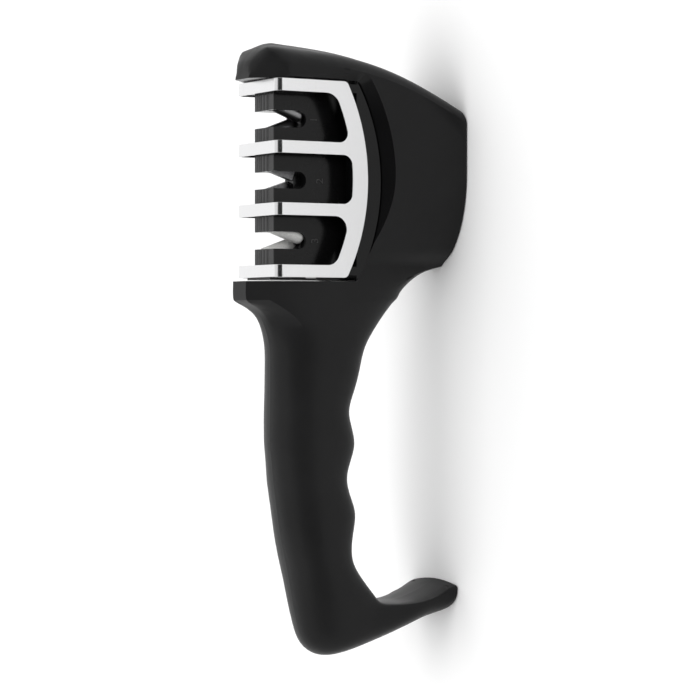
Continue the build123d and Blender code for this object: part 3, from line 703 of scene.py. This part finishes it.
@dataclass
class CoreMarks:
    """Marks on the core: three moulded stage numbers, and thin dark strips on its top whose darkness is
    painted shade in its draw lines.
    """

    finishes: Finishes
    finger: float = 4.3 * MM
    notch: float = 5.9 * MM
    core_half: float = 6.6 * MM
    core_top: float = 70.3 * MM
    number_size: float = 4.0 * MM
    number_rise: float = 0.12 * MM
    number_heights: tuple[float, float, float] = (54.4 * MM, 52.0 * MM, 53.9 * MM)
    line_count: int = 3
    line_pitch: float = 2.1 * MM
    line_width: float = 0.2 * MM
    line_rise: float = 0.05 * MM
    line_end: float = 0.3 * MM

    def build(self) -> None:
        """Make the numbers and the dark strips of painted line shade."""
        stages = [self.stage(kind) for kind in ("diamond_rod", "carbide_blade", "ceramic_rod")]
        for number, (place, height) in enumerate(zip(stages, self.number_heights), 1):
            self.number(number, place, height)
        low, high = (corner[0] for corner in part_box("steel_cover"))
        pitch = (high - low - self.finger) / len(stages)
        fingers = [low + self.finger / 2 + count * pitch for count in range(len(stages) + 1)]
        tree = self.line_tree()
        lines = []
        for place, left, right in zip(sorted(stages), fingers, fingers[1:]):
            for start, end in ((left + self.finger / 2, place - self.notch / 2),
                               (place + self.notch / 2, right - self.finger / 2)):
                lines.append(self.line_block(tree, start + self.line_end, end - self.line_end))
        # the strips' dark finish is painted shade in the grooves
        finished("core_draw_line_shade", joined(lines), self.finishes.draw_lines, Body.CARTRIDGE)

    def stage(self, kind: str) -> float:
        """Where along X a stage's rods or blades stand: they lean either way from there."""
        ends = [corner[0] for side in ("left", "right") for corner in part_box(f"{kind}_{side}")]
        return (min(ends) + max(ends)) / 2

    def number(self, number: int, place: float, height: float) -> None:
        """Raise one stage number on the left side of the core.

        Args:
            number: what it says.
            place: its middle along X.
            height: its middle along Z.
        """
        curve = bpy.data.curves.new(f"stage_number_{number}", "FONT")
        curve.body = str(number)
        curve.size = self.number_size
        curve.extrude = self.number_rise
        curve.align_x, curve.align_y = "CENTER", "CENTER"
        draft = bpy.data.objects.new(curve.name, curve)
        bpy.context.scene.collection.objects.link(draft)
        mesh = evaluated_mesh(draft)
        upright = Matrix.Rotation(math.pi / 2, 4, "X")
        mesh.transform(Matrix.Translation((place, -self.core_half, height)) @ upright)
        finished(f"stage_number_{number}", mesh, self.finishes.numbers, Body.CARTRIDGE)

    def line_tree(self) -> bpy.types.NodeTree:
        """Geometry nodes that lay a row of slim strips across a block."""
        group = bpy.data.node_groups.new("draw_lines", "GeometryNodeTree")
        inputs = {"Lines": ("NodeSocketInt", self.line_count), "Pitch": ("NodeSocketFloat", self.line_pitch),
                  "Length": ("NodeSocketFloat", self.notch), "Width": ("NodeSocketFloat", self.line_width),
                  "Rise": ("NodeSocketFloat", self.line_rise)}
        group.interface.new_socket("Geometry", in_out="INPUT", socket_type="NodeSocketGeometry")
        for name, (kind, value) in inputs.items():
            group.interface.new_socket(name, in_out="INPUT", socket_type=kind).default_value = value
        group.interface.new_socket("Geometry", in_out="OUTPUT", socket_type="NodeSocketGeometry")
        tree = Tree(group)
        given = tree.node("NodeGroupInput", {}, {}).outputs
        size = tree.node("ShaderNodeCombineXYZ", {}, {
            "X": given["Length"], "Y": given["Width"], "Z": given["Rise"]})
        step = tree.node("ShaderNodeCombineXYZ", {}, {"Y": given["Pitch"]})
        strip = tree.node("GeometryNodeMeshCube", {}, {"Size": size.outputs["Vector"]})
        row = tree.node("GeometryNodeMeshLine", {}, {
            "Count": given["Lines"], "Offset": step.outputs["Vector"]})
        lay = tree.node("GeometryNodeInstanceOnPoints", {}, {
            "Points": row.outputs["Mesh"], "Instance": strip.outputs["Mesh"]})
        real = tree.node("GeometryNodeRealizeInstances", {}, {"Geometry": lay.outputs["Instances"]})
        coated = tree.node("GeometryNodeSetMaterial", {}, {
            "Geometry": real.outputs["Geometry"], "Material": self.finishes.draw_lines})
        tree.node("NodeGroupOutput", {}, {"Geometry": coated.outputs["Geometry"]})
        return group

    def line_block(self, tree: bpy.types.NodeTree, start: float, end: float) -> bpy.types.Mesh:
        """The strips on one block, in place.

        Args:
            tree: the geometry nodes.
            start: where the strips start along X.
            end: where they end.

        Returns:
            Their mesh.
        """
        draft = bpy.data.objects.new("draw_lines_draft", bpy.data.meshes.new("draw_lines_draft"))
        bpy.context.scene.collection.objects.link(draft)
        rows = draft.modifiers.new("rows", "NODES")
        rows.node_group = tree
        names = {item.name: item.identifier for item in tree.interface.items_tree if item.in_out == "INPUT"}
        rows[names["Length"]] = end - start
        mesh = evaluated_mesh(draft)
        across = -self.line_pitch * (self.line_count - 1) / 2
        mesh.transform(Matrix.Translation(((start + end) / 2, across, self.core_top)))
        return mesh


# ---------------------------------------------------------------- studio
@dataclass(frozen=True)
class Panel:
    """A square area lamp that lights the sharpener and doesn't show in its shine."""

    name: str
    spot: Place
    aim: Place
    size: float
    power: float

    def hang(self) -> None:
        """Put the lamp at its spot, facing its aim."""
        light = bpy.data.lights.new(self.name, "AREA")
        light.size = self.size
        light.energy = self.power
        lamp = bpy.data.objects.new(self.name, light)
        lamp.visible_glossy = False
        lamp.location = self.spot
        towards = Vector(self.aim) - Vector(self.spot)
        lamp.rotation_euler = towards.to_track_quat("-Z", "Y").to_euler()
        bpy.context.scene.collection.objects.link(lamp)


@dataclass
class Studio:
    """Floor, lamps, surroundings and camera."""

    elevation: float = 31.0
    azimuth: float = 0.42
    distance: float = 0.913
    look_at: Place = (0.0, 0.0, 0.0358)
    sensor: float = 36.0
    focal_share: float = 2600 / 700
    floor_half: float = 3.0
    floor_seen: float = 1.0
    floor_bounce: float = 0.68
    dark_from: float = 46.0
    dark_to: float = 38.0
    dark: float = 0.03
    white: float = 1.0
    far_white: float = 1.3
    far_from: float = 90.0
    far_to: float = 112.0
    panels: tuple[Panel, ...] = (
        Panel("top_panel", spot=(0.0, -0.3, 2.6), aim=(0, 0, 0.04), size=2.6, power=27.0),
        Panel("front_panel", spot=(0.5, -1.3, 0.22), aim=(0.03, 0, 0.04), size=0.8, power=7.0))

    def build(self) -> None:
        """Set up everything round the object."""
        self.camera()
        self.floor()
        self.surroundings()
        for panel in self.panels:
            panel.hang()
        bpy.context.scene.view_settings.view_transform = "Standard"

    def camera(self) -> None:
        """A camera above the left side, turned so that the head is at the top of the frame."""
        back = self.back()
        up = (Vector((1, 0, 0)) - back * back.x).normalized()
        right = up.cross(back)
        lens = bpy.data.cameras.new("camera")
        lens.sensor_width = self.sensor
        lens.lens = lens.sensor_width * self.focal_share
        camera = bpy.data.objects.new("camera", lens)
        spot = Vector(self.look_at) + back * self.distance
        camera.matrix_world = Matrix.Translation(spot) @ Matrix((right, up, back)).transposed().to_4x4()
        bpy.context.scene.collection.objects.link(camera)
        bpy.context.scene.camera = camera

    def floor(self) -> None:
        """A pale floor that shows white but keeps the soft shadow."""
        half = self.floor_half
        mesh = bpy.data.meshes.new("floor")
        corners = [(-half, -half, 0), (half, -half, 0), (half, half, 0), (-half, half, 0)]
        mesh.from_pydata(corners, [], [(0, 1, 2, 3)])
        floor = bpy.data.objects.new("floor", mesh)
        bpy.context.scene.collection.objects.link(floor)
        tree = FinishTree("pale_floor")
        rays = tree.node("ShaderNodeLightPath", {}, {})
        seen = Value(tree, rays.outputs["Is Camera Ray"])
        for kind in ("Is Glossy Ray", "Is Transmission Ray"):
            seen = seen + rays.outputs[kind]
        colour = tree.mix(seen, 3 * (self.floor_bounce,), 3 * (self.floor_seen,))
        tree.surface(Base_Color=colour, Roughness=0.95, Specular_IOR_Level=0.0)
        mesh.materials.append(tree.material)

    def back(self) -> Vector:
        """The direction from the object to the camera."""
        tilt, turn = math.radians(self.elevation), math.radians(self.azimuth)
        return Vector((math.sin(turn) * math.cos(tilt), -math.cos(turn) * math.cos(tilt), math.sin(tilt)))

    def surroundings(self) -> None:
        """An even white room with one dark opening in front, which shiny edges pick up."""
        world = bpy.data.worlds.new("studio")
        world.use_nodes = True
        bpy.context.scene.world = world
        tree = Tree(world.node_tree)
        direction = tree.node("ShaderNodeTexCoord", {}, {}).outputs["Generated"]
        facing = tree.node("ShaderNodeVectorMath", {"operation": "DOT_PRODUCT"}, {
            0: direction, 1: self.back()})
        dark, far = (
            Value(tree, facing.outputs["Value"]).mapped(
                math.cos(math.radians(start)), math.cos(math.radians(end)), near, beyond)
            for start, end, near, beyond in (
                (self.dark_from, self.dark_to, self.white, self.dark),
                (self.far_from, self.far_to, 1.0, self.far_white)))
        white = (1.0, 1.0, 1.0, 1.0)
        lit = tree.node("ShaderNodeBackground", {}, {"Color": white, "Strength": dark * far})
        plain = tree.node("ShaderNodeBackground", {}, {"Color": white, "Strength": self.white})
        rays = tree.node("ShaderNodeLightPath", {}, {})
        seen = tree.node("ShaderNodeMixShader", {}, {
            0: rays.outputs["Is Camera Ray"], 1: lit.outputs[0], 2: plain.outputs[0]})
        tree.plug(tree.nodes["World Output"].inputs["Surface"], seen.outputs[0])


def main() -> None:
    """Build the sharpener and its studio, and log each piece."""
    logging.basicConfig(level=logging.INFO, format="%(name)s %(message)s")
    finishes = Finishes()
    Housing(finishes).build()
    Cartridge(finishes).build()
    CoreMarks(finishes).build()
    Studio().build()


if __name__ == "__main__":
    main()
